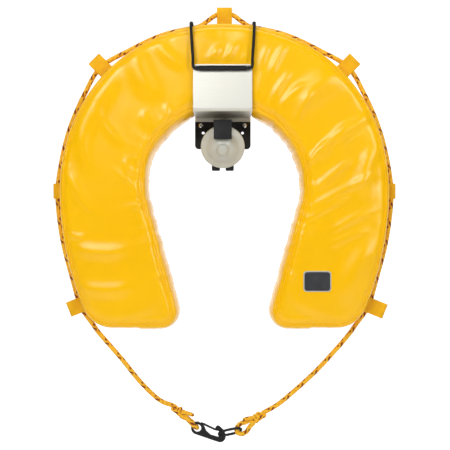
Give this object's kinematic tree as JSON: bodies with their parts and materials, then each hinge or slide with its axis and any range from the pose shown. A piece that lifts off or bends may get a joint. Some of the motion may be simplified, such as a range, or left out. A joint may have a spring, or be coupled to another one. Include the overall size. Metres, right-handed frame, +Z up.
{
  "type": "horseshoe lifebuoy",
  "caption": "Padded horseshoe lifebuoy with a grab line through rim loops and a clipped closing line, hung in a sheet bracket with a strobe light in a holder.",
  "frame": {"origin": "middle of the back plate's rear face, which is clamped to a rail", "axes": "+Y out of the rear face, +Z up with the buoy hanging, -Y is the front"},
  "size_m": [0.61, 0.134, 0.7738],
  "materials": {
    "foam": "matte",
    "cover": "satin",
    "patch": "satin",
    "webbing": "satin",
    "rope": "matte",
    "black_plastic": "satin",
    "steel": "satin",
    "bright_metal": "polished",
    "elastic": "matte",
    "lens": "satin",
    "board": "matte",
    "cell": "gloss"
  },
  "bodies": {
    "bracket": {"back_plate": "steel", "hook_plate": "steel", "rivet_1": "bright_metal", "rivet_2": "bright_metal", "rivet_3": "bright_metal", "rivet_4": "bright_metal", "shock_cord": "elastic", "cord_sleeve": "elastic", "cord_knot_right": "elastic", "cord_knot_left": "elastic", "holder_plate": "black_plastic", "holder_screw_right": "bright_metal", "holder_screw_left": "bright_metal", "holder_clip": "black_plastic", "holder_wedge": "black_plastic"},
    "buoy": {"foam_core_back": "foam", "foam_core_front": "foam", "back_panel": "cover", "front_panel": "cover", "outer_gusset": "cover", "inner_gusset": "cover", "blank_patch": "patch", "loop_top": "webbing", "loop_upper_right": "webbing", "loop_middle_right": "webbing", "loop_lower_right": "webbing", "loop_upper_left": "webbing", "loop_middle_left": "webbing", "loop_lower_left": "webbing", "grab_line": "rope"},
    "closing_line": {"tail_left": "rope", "tail_right": "rope", "eye_left": "rope", "eye_right": "rope", "knot_left": "rope", "knot_right": "rope", "snap_hook": "black_plastic", "oval_link": "black_plastic"},
    "gate": {"hook_gate": "black_plastic"},
    "light": {"light_base": "black_plastic", "light_lens": "lens", "light_board": "board", "light_lamp": "lens", "battery_upper": "cell", "battery_lower": "cell"}
  },
  "joints": [
    {"name": "buoy_lift", "type": "slide", "parent": "bracket", "child": "buoy", "axis": [0, 0, 1], "range_m": [0, 0.09], "deforming": ["shock_cord"]},
    {"name": "line_swing", "type": "hinge", "parent": "buoy", "child": "closing_line", "pos_m": [0.003, -0.057, -0.428], "axis": [1, 0, 0], "range_deg": [-75, 75]},
    {"name": "gate_turn", "type": "hinge", "parent": "closing_line", "child": "gate", "pos_m": [-0.0377, -0.057, -0.5957], "axis": [0, 1, 0], "range_deg": [0, 16], "stiffness_Nm_per_rad": 0.03, "springref_deg": -11.46},
    {"name": "light_pull", "type": "slide", "parent": "bracket", "child": "light", "axis": [0, 0, -1], "range_m": [0, 0.06]}
  ]
}
